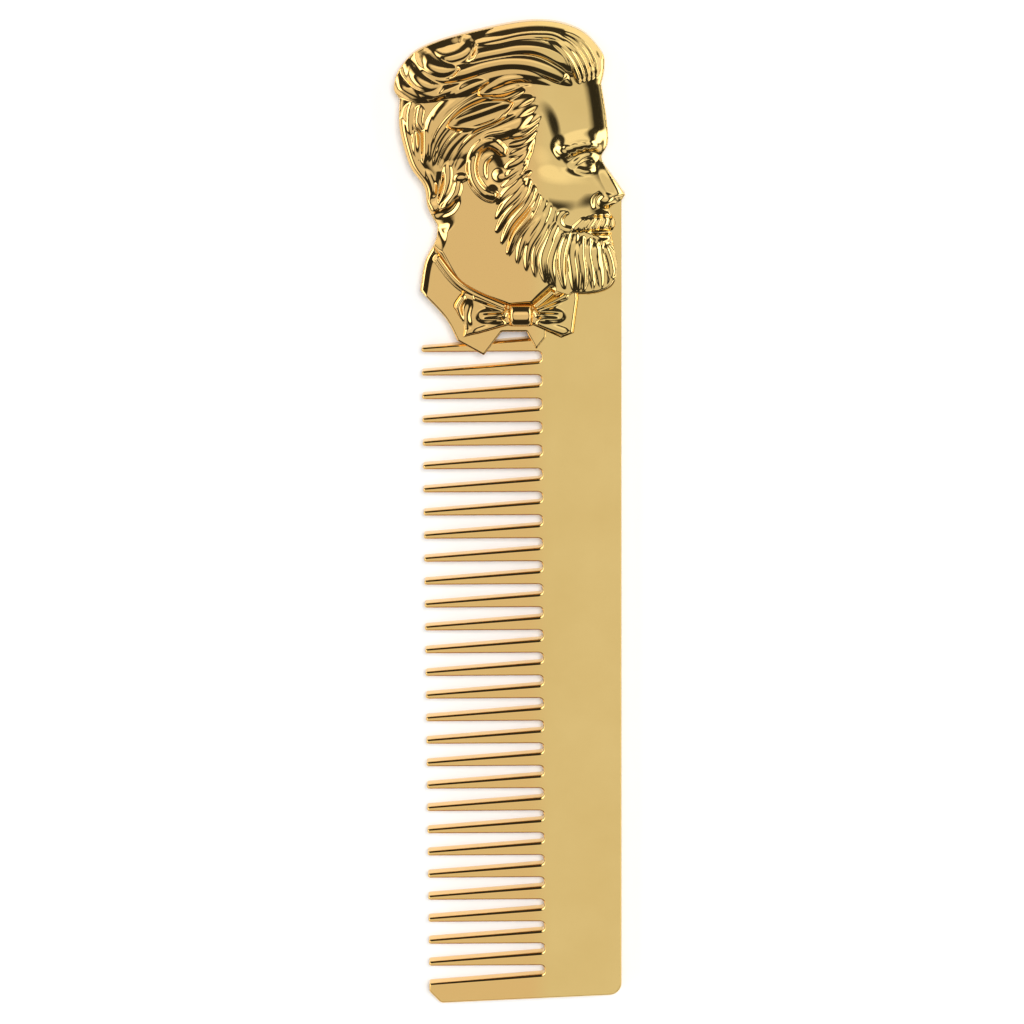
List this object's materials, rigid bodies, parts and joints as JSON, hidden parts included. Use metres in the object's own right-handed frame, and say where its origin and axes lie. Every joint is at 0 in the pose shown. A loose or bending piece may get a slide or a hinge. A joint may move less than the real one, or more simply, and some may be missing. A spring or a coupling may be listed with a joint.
{
  "type": "beard comb",
  "caption": "Flat gold-plated metal beard comb with tapered teeth and a relief bust with swept hair, full beard, collar and bow tie.",
  "frame": {"origin": "on the flat back face, 7.25 mm in from the spine's plain edge and half way along the comb", "axes": "+Z out of the front face, +Y along the comb towards the head, +X towards the spine's plain edge"},
  "size_m": [0.0399, 0.18, 0.006],
  "materials": {
    "gold_plate": "polished gold plating"
  },
  "bodies": {
    "root": {"spine": "gold_plate", "teeth": "gold_plate", "end_guard": "gold_plate", "bust_plate": "gold_plate", "head_relief": "gold_plate", "shirt_collar": "gold_plate", "bow_tie": "gold_plate"}
  },
  "joints": []
}
